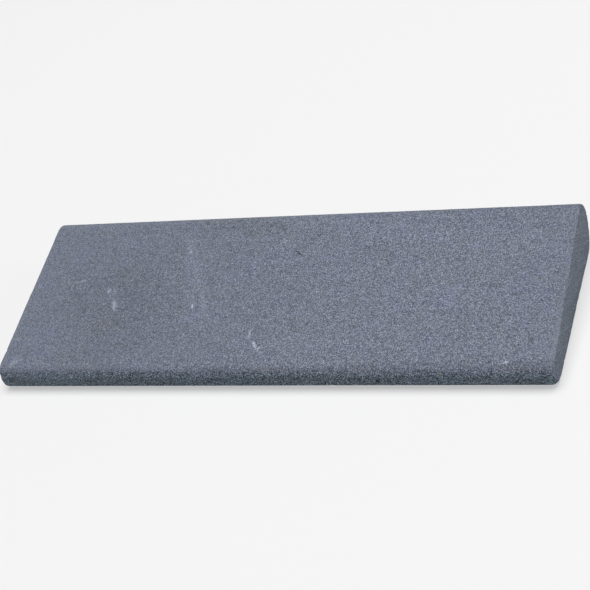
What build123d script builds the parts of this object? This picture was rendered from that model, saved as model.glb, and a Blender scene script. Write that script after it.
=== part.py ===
from build123d import *
import math
import os

# A sharpening slip stone: one bar of bonded abrasive grit, used in the hand to hone the inside of
# gouges and other curved edges. Its section is a wedge. The two broad faces are flat, the narrow
# edge and the wide edge are rounded to fit sweeps of different radius, and the ends are sawn square.
#
# Frame, in millimetres: the stone lies on one broad face, on the plane Z = 0. +X runs along its
# length, +Y from the narrow edge to the wide edge, +Z up. The origin is at the centre of the base.

# Driving dimensions
LENGTH = 115.0           # between the sawn ends
WIDTH = 45.0             # from the crest of the narrow edge to the crest of the wide edge
WIDE_THICKNESS = 12.2    # between the broad faces, where they meet the wide edge
NARROW_THICKNESS = 6.0   # between the broad faces, where they meet the narrow edge
WIDE_CROWN = 3.5         # how far the wide edge bulges out from the broad faces
NARROW_CROWN = 1.6       # how far the narrow edge bulges out from the broad faces
WIDE_SHOULDER = 4.0      # radius that blends the wide edge into each broad face
NARROW_SHOULDER = 2.2    # radius that blends the narrow edge into each broad face
ARRIS = 0.45             # radius that breaks the sharp corner round each sawn end

# Half of the angle between the broad faces, in degrees
TAPER_RUN = WIDTH - NARROW_CROWN - WIDE_CROWN
HALF_TAPER = math.degrees(math.atan2((WIDE_THICKNESS - NARROW_THICKNESS) / 2, TAPER_RUN))


def section_outline():
    """The stone's section, symmetric about local Y = 0, with the narrow crest at the local origin."""
    narrow_top = (NARROW_CROWN, NARROW_THICKNESS / 2)
    narrow_bottom = (NARROW_CROWN, -NARROW_THICKNESS / 2)
    wide_top = (WIDTH - WIDE_CROWN, WIDE_THICKNESS / 2)
    wide_bottom = (WIDTH - WIDE_CROWN, -WIDE_THICKNESS / 2)
    outline = Wire(
        [
            Edge.make_line(narrow_bottom, wide_bottom),
            Edge.make_three_point_arc(wide_bottom, (WIDTH, 0), wide_top),
            Edge.make_line(wide_top, narrow_top),
            Edge.make_three_point_arc(narrow_top, (0, 0), narrow_bottom),
        ]
    )
    section = Face(outline)
    wide_corners = section.vertices().filter_by_position(Axis.X, WIDTH / 2, WIDTH)
    section = section.fillet_2d(WIDE_SHOULDER, wide_corners)
    narrow_corners = section.vertices().sort_by(Axis.X)[:2]
    return section.fillet_2d(NARROW_SHOULDER, narrow_corners)


def slip_stone():
    """The section run along the length, laid on its lower broad face, with its end arrises broken."""
    section = Plane.YZ * section_outline().rotate(Axis.Z, HALF_TAPER)
    bar = Solid.extrude(section, Vector(LENGTH, 0, 0))
    end_faces = bar.faces().filter_by(Axis.X)
    bar = bar.fillet(ARRIS, end_faces.edges())
    base = bar.bounding_box()
    return bar.moved(Location((-base.center().X, -base.center().Y, -base.min.Z)))


stone = slip_stone()
stone.label = "slip_stone"

os.makedirs("parts", exist_ok=True)
export_step(stone, "parts/slip_stone.step")

size = stone.bounding_box().size
print(f"slip_stone: {size.X:.2f} x {size.Y:.2f} x {size.Z:.2f} mm, {stone.volume / 1000:.2f} cm3")
print(f"angle between the broad faces: {2 * HALF_TAPER:.2f} degrees")
base_face = stone.faces().sort_by(Axis.Z)[0].bounding_box()
print(f"base face: Y {base_face.min.Y:.2f} to {base_face.max.Y:.2f} mm")
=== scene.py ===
import functools
import itertools
import math
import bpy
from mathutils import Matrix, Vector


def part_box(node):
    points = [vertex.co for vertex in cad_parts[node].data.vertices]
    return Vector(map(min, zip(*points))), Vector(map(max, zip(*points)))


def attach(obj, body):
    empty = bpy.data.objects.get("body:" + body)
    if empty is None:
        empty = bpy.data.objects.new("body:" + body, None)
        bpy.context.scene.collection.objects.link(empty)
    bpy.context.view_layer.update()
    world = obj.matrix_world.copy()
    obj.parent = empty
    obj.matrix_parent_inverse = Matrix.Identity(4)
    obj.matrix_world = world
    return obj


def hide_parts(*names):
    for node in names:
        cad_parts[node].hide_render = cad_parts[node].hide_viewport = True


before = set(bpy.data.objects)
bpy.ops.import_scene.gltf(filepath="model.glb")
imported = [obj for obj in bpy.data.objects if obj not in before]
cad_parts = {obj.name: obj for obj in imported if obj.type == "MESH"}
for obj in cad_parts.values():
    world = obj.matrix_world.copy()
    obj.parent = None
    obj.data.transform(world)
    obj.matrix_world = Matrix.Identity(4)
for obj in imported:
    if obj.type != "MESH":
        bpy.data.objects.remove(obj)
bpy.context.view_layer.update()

from types import SimpleNamespace

import bpy
import numpy as np
from mathutils import Quaternion, Vector

# A sharpening slip stone: one wedge-section bar of blue-grey bonded grit, lying on a broad face.
# The mesh is worked out in millimetres and stored in metres. In the section, Y runs from the narrow
# edge to the wide edge and Z is up. The broad faces are ground flat, the rounded edges still have the
# open skin that the mould left, and the ends are sawn.

MM = 0.001
NODE = "slip_stone"
LOW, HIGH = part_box(NODE)
LENGTH = (HIGH.x - LOW.x) / MM
HALF = LENGTH / 2

# The section's driving dimensions, in millimetres, as the CAD solid has them
WIDTH = 45.0
WIDE_THICKNESS = 12.2
NARROW_THICKNESS = 6.0
WIDE_CROWN = 3.5
NARROW_CROWN = 1.6
WIDE_SHOULDER = 4.0
NARROW_SHOULDER = 2.2
ARRIS = 0.45            # radius of the rounded corner, or arris, round each end

HALF_TAPER = math.atan2((WIDE_THICKNESS - NARROW_THICKNESS) / 2, WIDTH - WIDE_CROWN - NARROW_CROWN)
FACE_ANGLE = math.pi / 2 + HALF_TAPER   # direction of the upper broad face's normal in the section

# Spacing of the mesh's vertices, in millimetres
LENGTH_PITCH = 0.31     # along the stone
FACE_PITCH = 0.50       # across a broad face
EDGE_PITCH = 0.26       # round the rounded edges
ARRIS_RINGS = 6         # rows of quads across each arris
CAP_COLUMNS = 18        # quads across the thickness of a sawn end

# How the arrises differ from their CAD radius, in millimetres
ARRIS_UNEVEN = ((2.5, 0.08), (0.9, 0.04))   # spacing and height of the unevenness along an arris
WORN_FRONT_RIGHT = 0.85     # extra radius where the right end meets the narrow edge
WORN_REACH = (2.6, 5.5)     # from the narrow crest: the wear is whole up to here, and gone from there
SHARP_BACK = 0.12           # how much sharper they are where the ends meet the wide edge
SHARP_REACH = (7.0, 12.0)   # from the wide crest, by the same rule
RIM_START = 0.4             # the rim distance counts from this share of the arris's radius

# Relief, in millimetres: the spacing and height of each layer, and how many times more of it the
# moulded skin has
RELIEF = (
    (22.0, 0.050, 0.0),
    (6.0, 0.018, 0.0),
    (0.85, 0.005, 5.0),
    (0.45, 0.005, 5.0),
)
SKIN_TURN = (35, 65)        # degrees away from the broad face at which the skin's relief starts and is whole

# Hollows: their number, and the ranges of their radius in millimetres and of their depth in radii
PITS = 420
PIT_RADIUS = (0.28, 0.60)
PIT_DEPTH = (0.20, 0.36)
GROUND_CHANCE = 0.06        # weight of a ground face when places are drawn; the moulded skin has 1 more
CHIPS = 20                  # along the arrises
CHIP_RADIUS = (0.30, 0.65)
CHIP_DEPTH = (0.12, 0.22)
CHIP_ROLL = (0.2, 0.8)      # the part of an arris's turn where a chip may sit
LONE_HOLLOWS = (            # place and radius in millimetres, and depth in radii
    (23.45, -22.30, 2.38, 0.62, 0.58),   # a deep pore in the narrow edge
    (57.30, 2.90, 0.40, 0.55, 0.40),     # a chip at the foot of the right end
)
HOLLOW_SEED = 8


def unit(angle):
    return np.array([math.cos(angle), math.sin(angle)])


def smoothstep(value, low, high):
    share = np.clip((value - low) / (high - low), 0, 1)
    return share * share * (3 - 2 * share)


class Noise:
    """Smooth random values from -1 to 1, on a cubic lattice round the stone."""

    def __init__(self, spacing, seed):
        self.spacing = spacing
        self.corner = np.array([-HALF, LOW.y / MM, 0.0]) - 2 * spacing
        size = np.array([LENGTH, (HIGH.y - LOW.y) / MM, (HIGH.z - LOW.z) / MM])
        cells = np.ceil(size / spacing).astype(int) + 6
        self.values = np.random.default_rng(seed).uniform(-1, 1, cells)

    def __call__(self, points):
        place = (points - self.corner) / self.spacing
        cell = np.floor(place).astype(int)
        share = smoothstep(place - cell, 0, 1)
        total = np.zeros(len(points))
        for corner in itertools.product((0, 1), repeat=3):
            weight = np.prod(np.where(corner, share, 1 - share), axis=1)
            x, y, z = (cell + corner).T
            total += weight * self.values[x, y, z]
        return total


class RoundedEdge:
    """One long edge of the section: a crest arc on the mid-plane, blended into the face by a shoulder."""

    def __init__(self, crest, inward, thickness, crown, shoulder):
        half = thickness / 2
        self.radius = (crown ** 2 + half ** 2) / (2 * crown)
        self.centre = np.array([crest + inward * self.radius, 0.0])
        corner = np.array([crest + inward * crown, half])
        normal = unit(FACE_ANGLE)
        reach = normal @ corner - shoulder - normal @ self.centre
        lean = math.acos(reach / (self.radius - shoulder))
        self.meeting = FACE_ANGLE + inward * lean
        self.shoulder = shoulder
        self.shoulder_centre = self.centre + (self.radius - shoulder) * unit(self.meeting)
        self.crest_angle = math.pi if inward > 0 else 0.0

    def face_corner(self):
        """Where the shoulder runs into the broad face."""
        return self.shoulder_centre + self.shoulder * unit(FACE_ANGLE)

    def stations(self):
        """Points with the direction of their normals, from the crest up to the broad face."""
        arcs = [(self.centre, self.radius, self.crest_angle, self.meeting),
                (self.shoulder_centre, self.shoulder, self.meeting, FACE_ANGLE)]
        found = []
        for centre, radius, start, end in arcs:
            steps = max(2, round(abs(end - start) * radius / EDGE_PITCH))
            for angle in np.linspace(start, end, steps, endpoint=False):
                found.append((centre + radius * unit(angle), angle))
        return found


class Section:
    """The closed outline, counted from the narrow crest over the top and back underneath."""

    def __init__(self):
        narrow = RoundedEdge(0.0, 1, NARROW_THICKNESS, NARROW_CROWN, NARROW_SHOULDER)
        wide = RoundedEdge(WIDTH, -1, WIDE_THICKNESS, WIDE_CROWN, WIDE_SHOULDER)
        start, end = narrow.face_corner(), wide.face_corner()
        steps = round(np.linalg.norm(end - start) / FACE_PITCH)
        face = [(start + (end - start) * t, FACE_ANGLE) for t in np.linspace(0, 1, steps + 1)]
        upper = narrow.stations() + face + wide.stations()[::-1]
        points = [point for point, _ in upper]
        normals = [unit(angle) for _, angle in upper]
        turns = [abs(angle - FACE_ANGLE) for _, angle in upper]
        mirror = np.array([1, -1])
        points += [point * mirror for point in points[-2:0:-1]]
        normals += [normal * mirror for normal in normals[-2:0:-1]]
        turns += turns[-2:0:-1]
        c, s = math.cos(HALF_TAPER), math.sin(HALF_TAPER)
        lay = np.array([[c, s], [-s, c]])
        self.points = np.array(points) @ lay
        self.normals = np.array(normals) @ lay
        self.turns = np.degrees(turns)
        self.wide_crest = len(upper) - 1
        middle = (self.points[:, 0].min() + self.points[:, 0].max()) / 2
        self.points[:, 0] += (LOW.y + HIGH.y) / 2 / MM - middle
        self.points[:, 1] += LOW.z / MM - self.points[:, 1].min()

    def arris_radii(self, side):
        """How far each point's corner is rounded where the outline meets the end on that side."""
        place = np.column_stack([np.full(len(self.points), side * HALF), self.points])
        radii = np.full(len(self.points), ARRIS)
        for seed, (spacing, height) in enumerate(ARRIS_UNEVEN, start=11):
            radii += height * Noise(spacing, seed)(place)
        from_narrow, from_wide = (np.linalg.norm(self.points - self.points[crest], axis=1)
                                  for crest in (0, self.wide_crest))
        if side > 0:
            radii += WORN_FRONT_RIGHT * (1 - smoothstep(from_narrow, *WORN_REACH))
        return radii - SHARP_BACK * (1 - smoothstep(from_wide, *SHARP_REACH))


class Stone:
    """The stone's surface: a sleeve of rings round its length, with a sawn cap at each end.

    Each vertex has a normal and four numbers that the material reads: turn, the degrees from the broad
    face's direction round the section; sawn, from 0 on the sleeve to 1 on the flat of an end; rim, the
    distance from an arris; and pit, the depth of the hollow it lies in.
    """

    def __init__(self):
        self.section = Section()
        self.around = len(self.section.points)
        self.vertices, self.normals, self.turn, self.sawn, self.rim = [], [], [], [], []
        self.faces = []
        columns = round(LENGTH / LENGTH_PITCH)
        rings = [(-1, k / ARRIS_RINGS) for k in range(ARRIS_RINGS, 0, -1)]
        rings += [(2 * k / columns - 1, 0.0) for k in range(1, columns)]
        rings += [(1, k / ARRIS_RINGS) for k in range(1, ARRIS_RINGS + 1)]
        for along, roll in rings:
            self.add_ring(along, roll)
        self.count = len(rings) * self.around
        for ring in range(len(rings) - 1):
            self.join_rings(ring * self.around, (ring + 1) * self.around)
        self.vertices = np.vstack(self.vertices)
        self.normals = np.vstack(self.normals)
        self.turn, self.sawn, self.rim = (np.hstack(v) for v in (self.turn, self.sawn, self.rim))
        self.close_end(0, -1)
        self.close_end(self.count - self.around, 1)

    def add_ring(self, along, roll):
        """One loop round the stone. roll goes from 0 on the sleeve to 1 at the flat of the end."""
        side = math.copysign(1, along)
        radii = self.section.arris_radii(side)
        tilt = roll * math.pi / 2
        x = along * (HALF - radii) + side * radii * math.sin(tilt)
        place = self.section.points - self.section.normals * (radii * (1 - math.cos(tilt)))[:, None]
        self.vertices.append(np.column_stack([x, place]))
        sideways = np.full(self.around, side * math.sin(tilt))
        self.normals.append(np.column_stack([sideways, self.section.normals * math.cos(tilt)]))
        self.turn.append(self.section.turns)
        self.sawn.append(np.full(self.around, roll))
        self.rim.append(np.maximum(HALF - abs(x) - radii * RIM_START, 0))

    def join_rings(self, a, b):
        for j in range(self.around):
            k = (j + 1) % self.around
            self.faces.append((a + j, b + j, b + k, a + k))

    def close_end(self, base, side):
        """Closes an end with chords from the outline's upper half to its lower half."""
        crest = self.section.wide_crest
        shares = np.linspace(0, 1, CAP_COLUMNS + 1)[1:-1, None]
        chords = [[base]]
        added = []
        for j in range(1, crest):
            top, bottom = base + j, base + self.around - j
            first = len(self.vertices) + sum(map(len, added))
            added.append(self.vertices[top] * (1 - shares) + self.vertices[bottom] * shares)
            chords.append([top, *range(first, first + len(shares)), bottom])
        chords.append([base + crest])
        for one, two in zip(chords, chords[1:]):
            for m in range(CAP_COLUMNS):
                corners = [one[min(m, len(one) - 1)], two[min(m, len(two) - 1)]]
                corners += [two[min(m + 1, len(two) - 1)], one[min(m + 1, len(one) - 1)]]
                ordered = list(dict.fromkeys(corners))
                self.faces.append(tuple(ordered if side < 0 else ordered[::-1]))
        thickness = np.repeat([np.linalg.norm(chord[-1] - chord[0]) for chord in added], len(shares))
        nearest = np.tile(np.minimum(shares, 1 - shares)[:, 0], len(added))
        added = np.vstack(added)
        self.vertices = np.vstack([self.vertices, added])
        self.normals = np.vstack([self.normals, np.tile([side, 0, 0], (len(added), 1))])
        self.turn = np.append(self.turn, np.zeros(len(added)))
        self.sawn = np.append(self.sawn, np.ones(len(added)))
        self.rim = np.append(self.rim, nearest * thickness)

    def roughen(self):
        """Presses relief, pits and chips into the surface, and never out of the true outline."""
        skin = smoothstep(self.turn, *SKIN_TURN) * (1 - self.sawn)
        height = np.zeros(len(self.vertices))
        for seed, (spacing, size, gain) in enumerate(RELIEF, start=1):
            height += size * (1 + gain * skin) * Noise(spacing, seed)(self.vertices)
        height = np.minimum(height, 0)
        rng = np.random.default_rng(HOLLOW_SEED)
        self.pit = np.zeros(len(self.vertices))
        chance = GROUND_CHANCE + skin
        pits = rng.choice(len(self.vertices), PITS, replace=False, p=chance / chance.sum())
        self.dent(pits, rng.uniform(*PIT_RADIUS, PITS), rng.uniform(*PIT_DEPTH, PITS))
        on_arris = np.flatnonzero((self.sawn > CHIP_ROLL[0]) & (self.sawn < CHIP_ROLL[1]))
        chips = rng.choice(on_arris, CHIPS, replace=False)
        self.dent(chips, rng.uniform(*CHIP_RADIUS, CHIPS), rng.uniform(*CHIP_DEPTH, CHIPS))
        for x, y, z, radius, depth in LONE_HOLLOWS:
            nearest = np.argmin(np.linalg.norm(self.vertices - (x, y, z), axis=1))
            self.dent([nearest], [radius], [depth])
        self.vertices = self.vertices + self.normals * (height - self.pit)[:, None]
        self.vertices[:, 2] = np.maximum(self.vertices[:, 2], LOW.z / MM)

    def dent(self, centres, radii, depths):
        """Adds bowl-shaped hollows. A depth is a share of the hollow's radius."""
        for centre, radius, depth in zip(self.vertices[centres], radii, depths):
            share = np.linalg.norm(self.vertices - centre, axis=1) / radius
            bowl = depth * radius * np.clip(1 - share ** 2, 0, None) ** 1.5
            self.pit = np.maximum(self.pit, bowl)


MESH_ATTRIBUTES = ("turn", "sawn", "rim", "pit")   # the attributes that the material reads


def build_stone():
    shape = Stone()
    shape.roughen()
    mesh = bpy.data.meshes.new("bonded_grit_stone")
    mesh.from_pydata((shape.vertices * MM).tolist(), [], shape.faces)
    mesh.shade_smooth()
    for name in MESH_ATTRIBUTES:
        values = mesh.attributes.new(name, "FLOAT", "POINT")
        values.data.foreach_set("value", getattr(shape, name).astype(np.float32))
    stone = bpy.data.objects.new("bonded_grit_stone", mesh)
    bpy.context.scene.collection.objects.link(stone)
    return stone


class Graph:
    """Short ways to add nodes to a material. A socket, a number or a tuple can feed any input."""

    def __init__(self, material):
        material.use_nodes = True
        self.tree = material.node_tree
        self.shader = self.tree.nodes["Principled BSDF"]

    def node(self, kind, inputs, output=0, **settings):
        made = self.tree.nodes.new(kind)
        for name, value in settings.items():
            setattr(made, name, value)
        for name, value in inputs.items():
            self.feed(made.inputs[name], value)
        return made.outputs[output]

    def feed(self, socket, value):
        if isinstance(value, bpy.types.NodeSocket):
            self.tree.links.new(value, socket)
        else:
            socket.default_value = value

    def math(self, operation, a, b=0.0, c=0.0):
        return self.node("ShaderNodeMath", {0: a, 1: b, 2: c}, operation=operation)

    def product(self, *values):
        return functools.reduce(functools.partial(self.math, "MULTIPLY"), values)

    def add(self, total, strength, *shares):
        """total, plus strength times all the shares."""
        return self.math("MULTIPLY_ADD", self.product(*shares), strength, total)

    def rest(self, share):
        return self.math("SUBTRACT", 1.0, share)

    def centred(self, value):
        """A value from 0 to 1, moved to lie round 0."""
        return self.math("SUBTRACT", value, 0.5)

    def vector(self, operation, a, b=(0, 0, 0)):
        output = "Value" if operation == "LENGTH" else "Vector"
        return self.node("ShaderNodeVectorMath", {0: a, 1: b}, output, operation=operation)

    def scaled(self, a, factor):
        return self.node("ShaderNodeVectorMath", {0: a, "Scale": factor}, operation="SCALE")

    def channel(self, vector, axis):
        return self.node("ShaderNodeSeparateXYZ", {"Vector": vector}, axis)

    def ramp(self, value, low, high, start=0.0, end=1.0):
        """A smooth step from start, where value is low, to end, where it is high."""
        inputs = {"Value": value, 1: low, 2: high, 3: start, 4: end}
        return self.node("ShaderNodeMapRange", inputs, interpolation_type="SMOOTHSTEP")

    def noise(self, place, per_mm, detail, output="Fac"):
        """Smooth noise round 0.5, with so many blotches to the millimetre."""
        inputs = {"Vector": place, "Scale": per_mm, "Detail": detail}
        return self.node("ShaderNodeTexNoise", inputs, output)

    def cells(self, place, per_mm, output="Color", scatter=1.0):
        inputs = {"Vector": place, "Scale": per_mm, "Randomness": scatter}
        return self.node("ShaderNodeTexVoronoi", inputs, output)

    def stretched(self, place, centre, angles, scale):
        """place as measured from a box with that centre, those angles in degrees and that size."""
        inputs = {"Vector": place, "Location": centre, "Scale": scale}
        inputs["Rotation"] = tuple(math.radians(angle) for angle in angles)
        return self.node("ShaderNodeMapping", inputs, vector_type="TEXTURE")

    def attribute(self, name):
        return self.node("ShaderNodeAttribute", {}, "Fac", attribute_name=name)

    def blend(self, share, a, b):
        made = self.tree.nodes.new("ShaderNodeMix")
        made.data_type = "VECTOR"
        for socket, value in ((0, share), (4, a), (5, b)):
            self.feed(made.inputs[socket], value)
        return made.outputs[1]


# Colours of the grit, as linear reflectances
GROUND = (0.1490, 0.1660, 0.2125)     # the ground broad faces
# The moulded colour is partly the skin's own darker colour and partly painted shade
MOULDED_WITH_PAINTED_SHADE = (0.0840, 0.1095, 0.1340)    # the open skin of the rounded edges
SAWN = (0.1095, 0.1310, 0.1660)       # the ends
BURNISHED = (0.185, 0.205, 0.258)     # where the stone has been rubbed pale
SCUFFED = (0.430, 0.465, 0.560)       # the rub marks
RUSTY = (0.270, 0.215, 0.160)         # a few stray grains

# Layers of grain: how many to the millimetre, and how much they change the brightness
GRAIN = (6.0, 1.12)                   # cells of their own brightness
LARGE_GRAIN = (2.9, -0.60)            # cells that are lightest in the middle
SPECK = (9.0, 3.25)
CLUMP = (1.7, 0.06)
MOTTLE = (0.28, 0.10)
CLOUD = (0.045, 0.10)
LIGHT_GRAINS = 0.35                   # how much more the light grains stand out than the dark ones
GRAIN_BEND = (2.0, 0.25)              # noise that bends the cells: how many to the millimetre, and its reach
# DARKEST also sets how dark the bottom of a deep pit is painted: painted shade and dust
DARKEST = 0.12                        # least brightness of a grain, and of the bottom of a deep pit

# Open pores: how many cells to the millimetre, the share of cells without one, and the largest radius
# in cells
# shade() darkens the open pores in the colour as painted shade
FINE_PORES = (3.9, 0.60, 0.40)
SKIN_PORES = (2.6, 0.45, 0.46)
PORE_WALL = 0.16                      # how far into a pore its side goes, in cells

# Dots in a few of the cells: cells to the millimetre, the channel of a cell's random colour that
# decides, the range over which it decides, and the radii in cells within which a dot is whole and ends
# The glint dots are pale grains, brightened further in the colour as a painted glint
PALE_GRAINS_PAINTED_GLINTS = (3.6, "Z", (0.93, 0.96), (0.2, 0.42))
RUST_SPOTS = (2.6, "X", (0.990, 0.994), (0.2, 0.5))

# Finish of the grit, with bump in millimetres
ROUGHNESS = 0.82
SPECULAR = 0.15
BUMP_GRAIN = (6.0, 0.030)             # how many grains to the millimetre, and how high they stand
PORE_DEPTH = 0.025
SCRATCH_DEPTH = 0.05

# The upper face begins between these heights, in millimetres, and marks lie only there
TOP_HEIGHT = (4.2, 4.8)

# Rub marks on the upper broad face, in millimetres: the middle of the mark along X and Y, its length and
# width, the direction of its length in degrees from +X, and how pale it is
SCUFFS = (
    (-2.08, -16.50, 2.5, 0.70, -55, 0.85),
    (-2.35, -16.10, 1.3, 0.75, -58, 1.00),
    (-0.98, -17.20, 1.8, 0.40, 73, 0.64),
    (-3.96, -13.55, 2.9, 1.30, -78, 0.27),
    (-36.25, -5.40, 3.3, 1.20, -69, 0.48),
    (-36.45, -4.90, 1.5, 0.85, -67, 0.64),
    (-38.80, -1.30, 2.3, 0.95, -86, 0.34),
    (-38.93, -4.85, 0.6, 0.50, 0, 0.45),
    (-39.52, 3.53, 0.6, 0.50, 0, 0.30),
    (-37.60, -1.90, 3.4, 2.80, -60, 0.07),
    (-38.20, -3.55, 0.6, 0.40, 0, 0.40),
    (-46.05, 1.75, 3.8, 0.52, 15, 0.26),
    (-18.42, -6.10, 1.7, 0.46, -72, 1.00),
    (-23.80, 10.80, 7.5, 2.00, -66, 0.09),
    (-19.80, 2.50, 12.0, 2.20, -64, 0.07),
    (-15.60, -6.40, 8.5, 1.80, -64, 0.08),
    (-23.07, 9.16, 1.2, 0.80, -68, 0.36),
    (-16.00, -4.90, 0.7, 0.50, -30, 0.45),
    (-13.93, -9.26, 0.6, 0.45, 0, 0.45),
    (-18.25, -13.41, 0.8, 0.40, -40, 0.45),
    (-2.30, 11.35, 2.4, 0.45, 25, 0.25),
    (1.72, -16.53, 0.5, 0.40, 0, 0.70),
    (15.00, -20.75, 11.0, 0.90, -1, 0.06),
    (48.50, -21.03, 1.2, 0.50, 10, 0.80),
    (47.80, -21.17, 1.2, 0.24, 5, 0.50),
    (-54.20, -20.20, 2.6, 1.60, 40, 0.22),
)
# Broad faint patches of the upper face: place, length, width and direction as above, then how much
# paler (or darker, below zero) the patch is and how much greener
PATCHES = (
    (-36.0, -5.0, 36.0, 34.0, -65, -0.085, 0.6),
    (-13.5, 17.5, 30.0, 9.0, -4, -0.075, 1.0),
    (-20.0, 0.0, 30.0, 5.5, -72, 0.075, -0.4),
    (-50.0, -15.5, 16.0, 10.0, 40, 0.020, -0.8),
    (26.0, 14.0, 30.0, 12.0, -20, 0.030, -0.2),
)
# A fine dark scratch with a bend in it, by the same measures as the rub marks
SCRATCH = (
    (0.57, 8.31, 1.1, 0.28, -24, 1.0),
    (1.50, 7.63, 1.6, 0.28, -44, 1.0),
)
TAN_GRAIN = (35.85, -22.30, 4.15)   # a large rusty grain on the narrow edge


def grit_material():
    material = bpy.data.materials.new("blue_grey_grit")
    g = Graph(material)
    s = SimpleNamespace()   # what is known of the surface, as sockets; a share goes from 0 to 1
    find_zones(g, s)
    find_marks(g, s)
    find_grains(g, s)
    paint(g, s)
    finish(g, s)
    return material


def find_zones(g, s):
    """Where each kind of surface is."""
    s.place = g.scaled(g.node("ShaderNodeTexCoord", {}, "Object"), 1 / MM)
    s.along, s.across, s.up = (g.channel(s.place, axis) for axis in "XYZ")
    turn, sawn, rim, s.pit = (g.attribute(name) for name in MESH_ATTRIBUTES)
    s.end = g.ramp(sawn, 0.45, 0.95)

    # The border between the ground and the moulded surface is crisp at the left end of the stone and
    # wanders at the right end. It is measured in degrees of turn.
    leftmost, rightmost = -50.0, 40.0
    unevenness = g.centred(g.noise(s.place, 0.35, 3.0))
    wander = g.product(g.ramp(s.along, leftmost, rightmost, 3.0, 17.0), unevenness)
    # lowest: the bottom 1.2 to 2.6 mm of the stone. The skin reaches further there and its grain is stronger
    # there, and shade() darkens it there as painted shade under the stone
    s.lowest = g.ramp(s.up, 2.6, 1.2)
    border = g.add(g.math("ADD", turn, wander), 22.0, s.lowest)
    skin = g.ramp(border, 48.0, g.ramp(s.along, leftmost, rightmost, 55.0, 68.0))
    s.skin = g.product(skin, g.rest(g.ramp(sawn, 0.45, 0.85)))
    s.crest = g.ramp(border, 60.0, 92.0)

    # A smooth pale band along the arrises of the broad faces, strongest near the narrow edge
    band = g.ramp(g.add(rim, 0.5, g.noise(s.place, 2.4, 2.0)), 0.75, 1.10, 1.0, 0.0)
    toward_narrow = g.ramp(s.across, -6.0, -17.0, 0.50, 1.0)
    s.band = g.product(band, toward_narrow, g.rest(s.end), g.ramp(turn, 20.0, 45.0, 1.0, 0.0))

    # The first part of the turn from a broad face, rubbed pale except toward the right
    s.shoulder = g.product(g.ramp(turn, 1.0, 14.0), g.ramp(turn, 24.0, 52.0, 1.0, 0.0))
    rubbed_shoulder = g.product(s.shoulder, g.ramp(s.along, -5.0, 40.0, 0.25, 0.0))
    s.rubbed = g.math("MAXIMUM", g.product(s.band, 0.60), rubbed_shoulder)


def find_marks(g, s):
    """Marks and patches on the upper face, and the lines that the saw left on the ends."""
    on_top = g.ramp(s.up, *TOP_HEIGHT)
    frayed = g.noise(s.place, 3.2, 2.0)

    def reach_of(x, y, length, width, direction):
        """Distance from the middle of an oval patch: 1 on its outline, and the same at any height."""
        far = 1e4
        scale = (length / 2, width / 2, far)
        return g.vector("LENGTH", g.stretched(s.place, (x, y, 0), (0, 0, direction), scale))

    def marks(strokes, fray, solid, gone):
        """Strokes that are whole up to reach solid and have faded away at reach gone."""
        total = 0.0
        for *oval, strength in strokes:
            reach = g.add(reach_of(*oval), fray, frayed)
            stroke = g.ramp(reach, solid + fray / 2, gone + fray / 2, strength, 0.0)
            total = g.math("MAXIMUM", total, stroke)
        return g.product(total, on_top)

    s.scuffed = marks(SCUFFS, 0.30, 0.20, 1.35)
    s.scratched = marks(SCRATCH, 0.0, 0.60, 1.20)
    s.paler, s.greener = 0.0, 0.0
    for *oval, paler, greener in PATCHES:
        share = g.product(g.ramp(reach_of(*oval), 0.2, 1.3, 1.0, 0.0), on_top)
        s.paler = g.add(s.paler, paler, share)
        s.greener = g.add(s.greener, greener, share)

    line_length, line_width, slope = 7.0, 0.30, -31
    along_saw = g.stretched(s.place, (0, 0, 0), (slope, 0, 0), (1.0, line_length, line_width))
    s.saw_line = g.product(g.ramp(g.noise(along_saw, 1.0, 1.0), 0.56, 0.62), s.end)


def find_grains(g, s):
    """Open pores between the grains, pale grains that also carry a painted glint, and rusty ones."""
    per_mm, reach = GRAIN_BEND
    s.bent = g.vector("ADD", s.place, g.scaled(g.noise(s.place, per_mm, 1.0, "Color"), reach))

    def pores(per_mm, without, largest):
        lot = g.channel(g.cells(s.bent, per_mm), "Y")
        radius = g.ramp(lot, without, 1.0, 0.0, largest)
        outside = g.math("SUBTRACT", g.cells(s.bent, per_mm, "Distance"), radius)
        return g.ramp(outside, -PORE_WALL, 0.0, 1.0, 0.0)

    def dots(per_mm, channel, lot, size):
        chosen = g.ramp(g.channel(g.cells(s.bent, per_mm), channel), *lot)
        return g.product(chosen, g.ramp(g.cells(s.bent, per_mm, "Distance"), *size, 1.0, 0.0))

    fine_pores = g.product(pores(*FINE_PORES), 0.55)
    s.pore = g.math("MAXIMUM", fine_pores, g.product(pores(*SKIN_PORES), s.skin))
    s.glint = dots(*PALE_GRAINS_PAINTED_GLINTS)
    from_tan_grain = g.vector("LENGTH", g.vector("SUBTRACT", s.place, TAN_GRAIN))
    s.rusty = g.math("MAXIMUM", dots(*RUST_SPOTS), g.ramp(from_tan_grain, 0.20, 0.50, 0.6, 0.0))

    # How strongly the grain shows: least at the left end, and most in the skin
    contrast = g.product(g.ramp(s.along, -57.0, 30.0, 0.74, 1.15), g.ramp(s.along, 46.0, 54.0, 1.0, 0.88))
    contrast = g.add(contrast, 0.72, s.skin)
    contrast = g.add(contrast, 0.70, s.lowest, s.skin)
    s.contrast = g.product(contrast, g.add(1.0, -0.04, s.end), g.add(1.0, -0.60, s.band))


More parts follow.
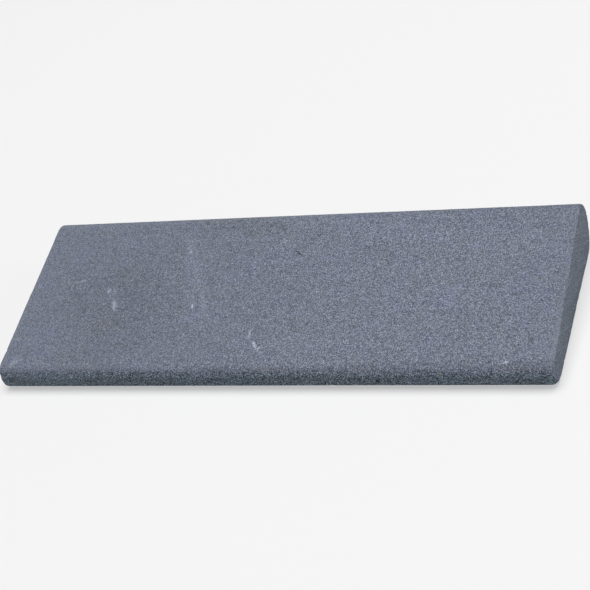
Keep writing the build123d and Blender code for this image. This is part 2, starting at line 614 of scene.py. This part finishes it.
def paint(g, s):
    """The base colour: a colour for each kind of surface, times a shade, times a slight tint."""
    base = g.blend(s.end, GROUND, SAWN)
    # The skin takes its full colour only at the crest, which faces away from the lamps: partly its own
    # colour, partly painted shade
    base = g.blend(g.product(s.skin, g.add(0.55, 0.45, s.crest)), base, MOULDED_WITH_PAINTED_SHADE)
    base = g.blend(s.rubbed, base, BURNISHED)
    base = g.blend(g.product(s.rusty, 0.6), base, RUSTY)
    base = g.blend(s.scuffed, base, SCUFFED)

    tint = g.add(g.centred(g.noise(s.place, 0.42, 2.0)), 0.6, g.centred(g.noise(s.place, 0.11, 1.0)))
    red = g.add(g.add(1.0, 0.055, tint), -0.004, s.greener)
    blue = g.add(g.add(1.0, -0.14, tint), -0.045, s.greener)
    hue = g.node("ShaderNodeCombineXYZ", {"X": red, "Y": 1.0, "Z": blue})
    colour = g.vector("MULTIPLY", g.scaled(base, shade(g, s)), hue)
    g.feed(g.shader.inputs["Base Color"], colour)


def shade(g, s):
    """How bright the surface is, with 1 for the plain colour. Besides the grain's own tone and marks it
    holds painted shade in pores, pits and along the bottom, and painted glints.
    """
    layers = (
        (g.channel(g.cells(s.bent, GRAIN[0]), "X"), GRAIN[1]),
        (g.cells(s.place, LARGE_GRAIN[0], "Distance", 0.85), LARGE_GRAIN[1]),
        (g.noise(s.place, SPECK[0], 1.0), SPECK[1]),
        (g.noise(s.place, CLUMP[0], 2.0), CLUMP[1]),
    )
    total = 0.0
    for layer, strength in layers:
        total = g.add(total, strength, g.centred(layer))
    total = g.product(total, s.contrast)
    total = g.add(total, LIGHT_GRAINS, total, total)
    total = g.add(total, MOTTLE[1], g.centred(g.noise(s.place, MOTTLE[0], 2.0)))
    total = g.add(total, CLOUD[1], g.centred(g.noise(s.place, CLOUD[0], 1.0)))
    changes = (
        # painted shade: the open pores and the pits darkened in the colour; the pits also hold dust
        (-0.42, s.pore),
        (-1.2, g.math("MINIMUM", s.pit, 0.2)),
        # painted glint: pale grains brightened in the colour
        (0.9, s.glint),
        (-0.95, s.scratched),
        (0.26, s.saw_line),
        # painted shade: the skin darker towards the bottom, where the stone meets the floor
        (-0.32, s.lowest, s.skin),
        (-0.12, g.ramp(s.up, 3.0, 1.5), s.skin),
        (1.0, g.ramp(s.along, -45.0, -25.0, 0.03, -0.05), s.skin),
        # more painted shade along the bottom of the skin toward the right
        (-0.18, g.ramp(s.along, 5.0, 30.0), g.ramp(s.up, 2.0, 0.8), s.skin),
        (-0.06, g.ramp(s.along, 0.0, 30.0), s.shoulder),
        # painted shade at the foot of the ends
        (-0.10, g.ramp(s.up, 6.0, 0.5), s.end),
        (1.0, s.paler),
    )
    for strength, *shares in changes:
        total = g.add(total, strength, *shares)
    total = g.math("MAXIMUM", g.math("ADD", total, 1.0), DARKEST)
    # The bottom of a deep pit painted nearly black: painted shade and dust
    return g.product(total, g.ramp(s.pit, 0.14, 0.26, 1.0, DARKEST))


def finish(g, s):
    """Roughness and bump. Bump heights are in millimetres."""
    speck = g.noise(s.place, SPECK[0], 1.0)
    roughness = g.add(ROUGHNESS, 0.3, g.centred(speck))
    for strength, share in ((-0.10, s.end), (-0.15, s.scuffed), (-0.45, s.glint)):
        roughness = g.add(roughness, strength, share)
    g.feed(g.shader.inputs["Roughness"], roughness)
    g.shader.inputs["Specular IOR Level"].default_value = SPECULAR

    per_mm, stand = BUMP_GRAIN
    height = g.product(g.centred(g.noise(s.place, per_mm, 1.0)), stand, s.contrast)
    for depth, share in ((PORE_DEPTH, s.pore), (SCRATCH_DEPTH, s.scratched)):
        height = g.add(height, -depth, share)
    g.feed(g.shader.inputs["Normal"], g.node("ShaderNodeBump", {"Height": height, "Distance": MM}))


# Where the camera stands, round the point of the stone that it looks at, in degrees and millimetres
CAMERA_AZIMUTH = 26.15
CAMERA_ELEVATION = 35.57
CAMERA_ROLL = 17.27
CAMERA_DISTANCE = 338.7
CAMERA_LENS = 101.99
LOOK_AT = (0.6, 1.7, 4.5)
SENSOR_WIDTH = 36.0
CLIP_START = 0.01       # in metres


def make_camera():
    azimuth, elevation = math.radians(CAMERA_AZIMUTH), math.radians(CAMERA_ELEVATION)
    back = Vector((math.sin(azimuth) * math.cos(elevation), -math.cos(azimuth) * math.cos(elevation),
                   math.sin(elevation)))
    data = bpy.data.cameras.new("camera")
    data.lens = CAMERA_LENS
    data.sensor_width = SENSOR_WIDTH
    data.clip_start = CLIP_START
    camera = bpy.data.objects.new("camera", data)
    camera.location = (Vector(LOOK_AT) + back * CAMERA_DISTANCE) * MM
    camera.rotation_mode = "QUATERNION"
    roll = Quaternion((0, 0, 1), -math.radians(CAMERA_ROLL))
    camera.rotation_quaternion = (-back).to_track_quat("-Z", "Y") @ roll
    bpy.context.scene.collection.objects.link(camera)
    bpy.context.scene.camera = camera


def softbox(name, place, size, watts):
    """A square lamp that faces the stone. place and size are in metres."""
    data = bpy.data.lights.new(name, "AREA")
    data.size = size
    data.energy = watts
    lamp = bpy.data.objects.new(name, data)
    lamp.location = place
    lamp.rotation_mode = "QUATERNION"
    lamp.rotation_quaternion = (-Vector(place)).to_track_quat("-Z", "Y")
    bpy.context.scene.collection.objects.link(lamp)


# The floor is a pale sheet that sweeps up into a low wall all round, metres away. It is lit softly from
# below as well, like a light table, so shadows stay light.
WHITE = (1, 1, 1, 1)
PAPER_ALBEDO = 0.42
PAPER_ROUGHNESS = 0.9
PAPER_GLOW = 0.44
FLAT_REACH = 2.4        # radius of the flat part, in metres
SWEEP_RADIUS = 0.45     # radius of the curve that leads up to the wall, in metres
SWEEP_STEPS = 24
WALL_HEIGHT = 0.60
FLOOR_SIDES = 128


def make_floor():
    profile = [(FLAT_REACH, 0.0)]
    for step in range(1, SWEEP_STEPS + 1):
        angle = step / SWEEP_STEPS * math.pi / 2
        rise = SWEEP_RADIUS * (1 - math.cos(angle))
        profile.append((FLAT_REACH + SWEEP_RADIUS * math.sin(angle), rise))
    profile.append((FLAT_REACH + SWEEP_RADIUS, WALL_HEIGHT))
    points, faces = [], [tuple(range(FLOOR_SIDES))]
    for radius, height in profile:
        for side in range(FLOOR_SIDES):
            angle = side / FLOOR_SIDES * 2 * math.pi
            points.append((radius * math.cos(angle), radius * math.sin(angle), height))
    for ring in range(len(profile) - 1):
        for side in range(FLOOR_SIDES):
            a, b = ring * FLOOR_SIDES + side, ring * FLOOR_SIDES + (side + 1) % FLOOR_SIDES
            faces.append((a, a + FLOOR_SIDES, b + FLOOR_SIDES, b))
    mesh = bpy.data.meshes.new("floor")
    mesh.from_pydata(points, [], faces)
    mesh.shade_smooth()
    floor = bpy.data.objects.new("floor", mesh)
    paper = bpy.data.materials.new("pale_paper")
    paper.use_nodes = True
    shader = paper.node_tree.nodes["Principled BSDF"]
    shader.inputs["Base Color"].default_value = (*[PAPER_ALBEDO] * 3, 1)
    shader.inputs["Roughness"].default_value = PAPER_ROUGHNESS
    shader.inputs["Emission Color"].default_value = WHITE
    shader.inputs["Emission Strength"].default_value = PAPER_GLOW
    mesh.materials.append(paper)
    bpy.context.scene.collection.objects.link(floor)


# Square lamps that face the stone: name, place and size in metres, and watts
LAMPS = (
    ("overhead", (0.05, 0.0, 1.20), 0.9, 16.1),
    ("right_fill", (0.75, 0.0, 0.36), 0.4, 0.8),
)
ROOM_LIGHT = 0.09       # strength of the even light from all round


def make_studio():
    make_floor()
    world = bpy.data.worlds.new("studio")
    world.use_nodes = True
    background = world.node_tree.nodes["Background"]
    background.inputs["Color"].default_value = WHITE
    background.inputs["Strength"].default_value = ROOM_LIGHT
    bpy.context.scene.world = world
    for lamp in LAMPS:
        softbox(*lamp)
    bpy.context.scene.view_settings.view_transform = "Standard"


make_camera()
make_studio()
stone = build_stone()
stone.data.materials.append(grit_material())
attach(stone, "root")
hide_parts(NODE)
